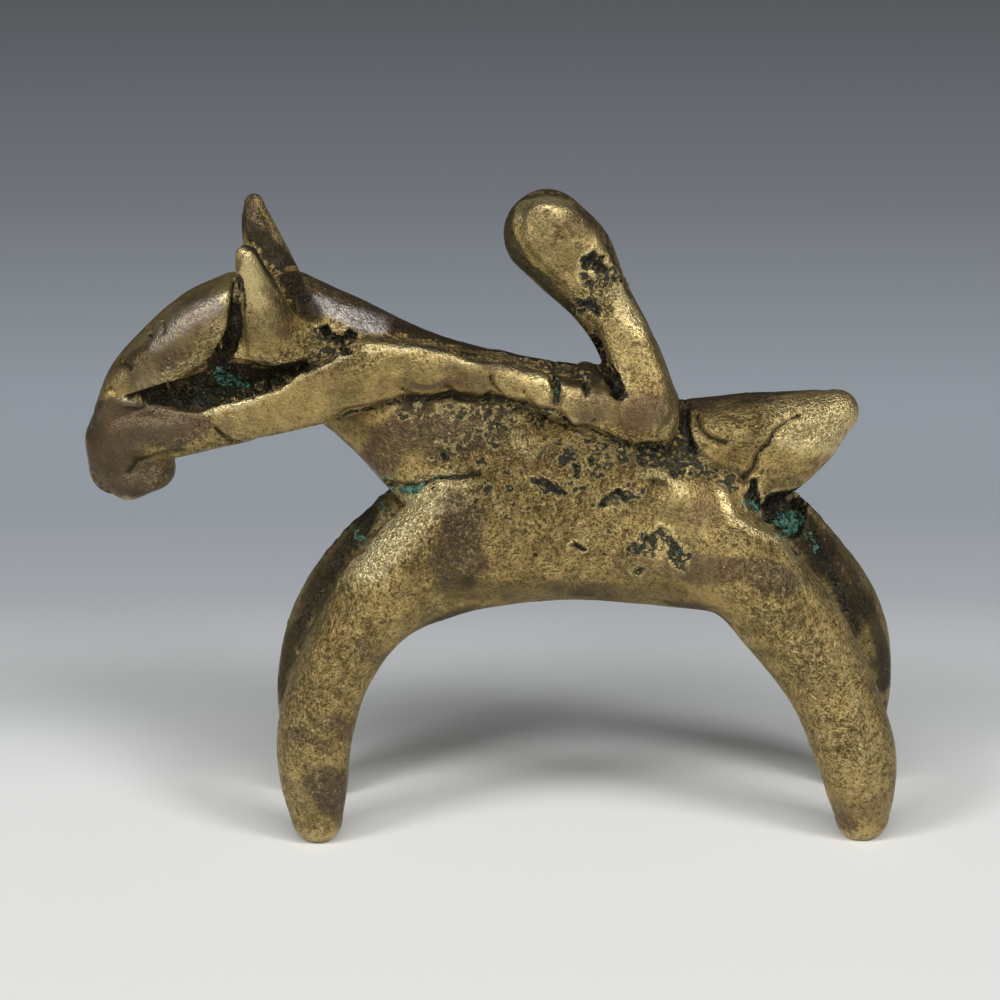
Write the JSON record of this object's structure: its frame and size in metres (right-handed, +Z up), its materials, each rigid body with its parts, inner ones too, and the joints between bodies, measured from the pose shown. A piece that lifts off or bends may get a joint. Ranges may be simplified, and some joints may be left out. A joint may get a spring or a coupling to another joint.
{
  "type": "equestrian figure",
  "caption": "Small solid cast brass horse with a rider leaning forward on its back, formed from rolled wax: arched legs, long neck, raised ears, blunt tail; stands on its feet.",
  "frame": {"origin": "middle of the bounding box at the level of the feet, so the figure stands on z = 0", "axes": "+Z up; -X towards the horse's head and +X towards its tail; +Y towards the far side, so the side in the picture faces -Y"},
  "size_m": [0.0708, 0.0212, 0.056],
  "materials": {
    "brass": "old worn brass: golden on the high places, brown in the hollows, with green corrosion in the joints"
  },
  "bodies": {
    "root": {"horse_and_rider": "brass"}
  },
  "joints": []
}
